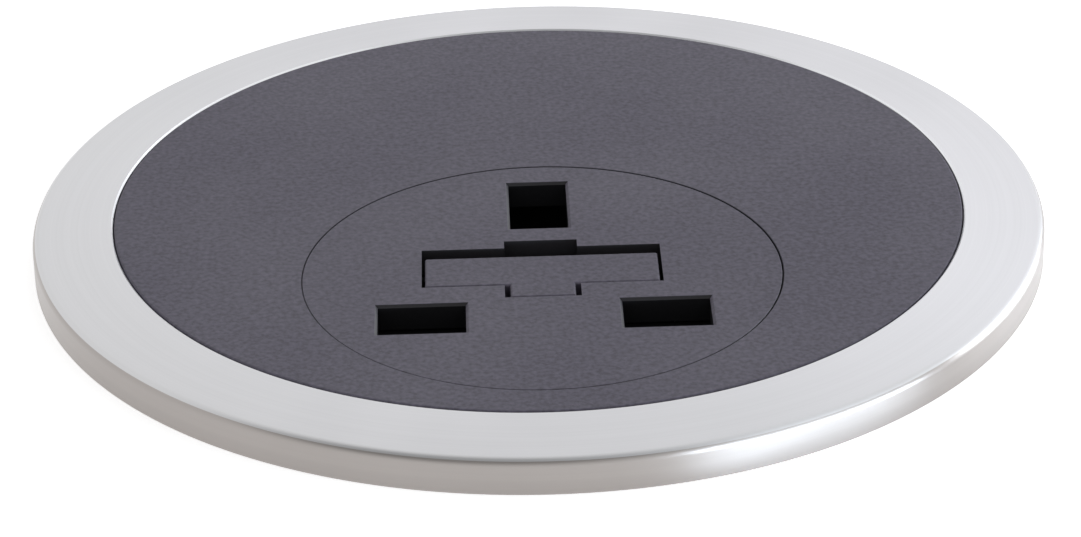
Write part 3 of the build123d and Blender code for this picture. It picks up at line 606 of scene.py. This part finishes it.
# Contacts, their carrier, and the shutter with its spring
contactPieces = {
    "edges": {"shutter": 0.0001, "shutter_spring": 0.00003},
    "springKeeps": 0.384,  # share of its length left when the shutter is open
    "brass": {"colour": (0.72, 0.53, 0.25), "roughness": 0.32, "grain": 900.0, "depth": 0.000004, "metallic": 1.0},
    "carrier": {"colour": (0.03, 0.03, 0.031), "roughness": 0.45, "grain": 1500.0, "depth": 0.00001},
    "shutter": {"colour": (0.0035, 0.0035, 0.004), "roughness": 0.6,
                "grain": 1500.0, "depth": 0.000005, "specular": 0.1},
    "spring": {"colour": (0.5, 0.5, 0.52), "roughness": 0.3, "grain": 1200.0, "depth": 0.000003, "metallic": 1.0},
}
finishNodes(["line_contact", "neutral_contact", "earth_contact", "fuse_clip"],
            grainedFinish("contactBrass", **contactPieces["brass"]))
finishNodes(["contact_carrier"], grainedFinish("carrierPlastic", **contactPieces["carrier"]))
contactEdges = contactPieces["edges"]
shutter = softenedCopy("shutter", "safetyShutter", "shutter", contactEdges["shutter"])
giveFinishes(shutter, grainedFinish("shutterPlastic", **contactPieces["shutter"]))
springFinish = grainedFinish("springSteel", **contactPieces["spring"])
spring = softenedCopy("shutter_spring", "shutterSpring", "housing", contactEdges["shutter_spring"])
giveFinishes(spring, springFinish)
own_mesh(spring)
print("contacts and shutter made")


# Fuse link: a glass tube with plated caps and a fine wire
fuseLink = {
    "glass": {"colour": (0.96, 0.98, 0.97, 1), "ior": 1.5,
              "clearest": 0.02, "dullest": 0.06, "ripple": 300.0, "detail": 1.0},
}


def clearGlass(name, settings):
    material, nodes, links, surface = emptyFinish(name)
    place = nodes.new("ShaderNodeTexCoord").outputs["Object"]
    ripple = addNoise(nodes, links, place, settings["ripple"], settings["detail"])
    surface.inputs["Base Color"].default_value = settings["colour"]
    surface.inputs["Transmission Weight"].default_value = 1.0
    surface.inputs["IOR"].default_value = settings["ior"]
    links.new(mapTo(nodes, links, ripple, settings["clearest"], settings["dullest"]), surface.inputs["Roughness"])
    return material


finishNodes(["fuse_tube"], clearGlass("fuseGlass", fuseLink["glass"]))
finishNodes(["fuse_caps"], pinFinish)
finishNodes(["fuse_wire"], springFinish)
print("fuse link finished")


# Screws, push-on sleeves and inner wires
wiringPieces = {
    "screws": {"colour": (0.62, 0.62, 0.63), "roughness": 0.35, "grain": 1200.0, "depth": 0.000004, "metallic": 1.0},
    "sleeves": {"colour": (0.7, 0.66, 0.58), "roughness": 0.3, "grain": 900.0, "depth": 0.000004, "metallic": 1.0},
    "line": {"colour": (0.13, 0.05, 0.022), "roughness": 0.42, "grain": 800.0, "depth": 0.000006},
    "neutral": {"colour": (0.02, 0.09, 0.36), "roughness": 0.42, "grain": 800.0, "depth": 0.000006},
    "earth": {"green": (0.03, 0.28, 0.05, 1), "yellow": (0.72, 0.6, 0.03, 1), "split": 0.0004, "roughness": 0.42,
              "grain": 800.0, "depth": 0.000006},
}


def stripedSheath(name, settings):
    material, nodes, links, surface = emptyFinish(name)
    place = nodes.new("ShaderNodeTexCoord").outputs["Object"]
    split = nodes.new("ShaderNodeSeparateXYZ")
    links.new(place, split.inputs[0])
    stripe = addMath(nodes, links, "GREATER_THAN", split.outputs["X"], settings["split"])
    stripes = mixColours(nodes, links, stripe, settings["green"], settings["yellow"])
    links.new(stripes, surface.inputs["Base Color"])
    surface.inputs["Roughness"].default_value = settings["roughness"]
    grain = addNoise(nodes, links, place, settings["grain"], finishSettings["sheathDetail"])
    links.new(addBump(nodes, links, grain, settings["depth"]), surface.inputs["Normal"])
    return material


finishNodes(["bezel_screws", "face_screws", "carrier_screws", "base_screws"],
            grainedFinish("screwZinc", **wiringPieces["screws"]))
finishNodes(["wire_sleeves"], grainedFinish("sleeveTin", **wiringPieces["sleeves"]))
finishNodes(["line_wire"], grainedFinish("brownSheath", **wiringPieces["line"]))
finishNodes(["neutral_wire"], grainedFinish("blueSheath", **wiringPieces["neutral"]))
finishNodes(["earth_wire"], stripedSheath("greenYellowSheath", wiringPieces["earth"]))
print("screws and wires finished")
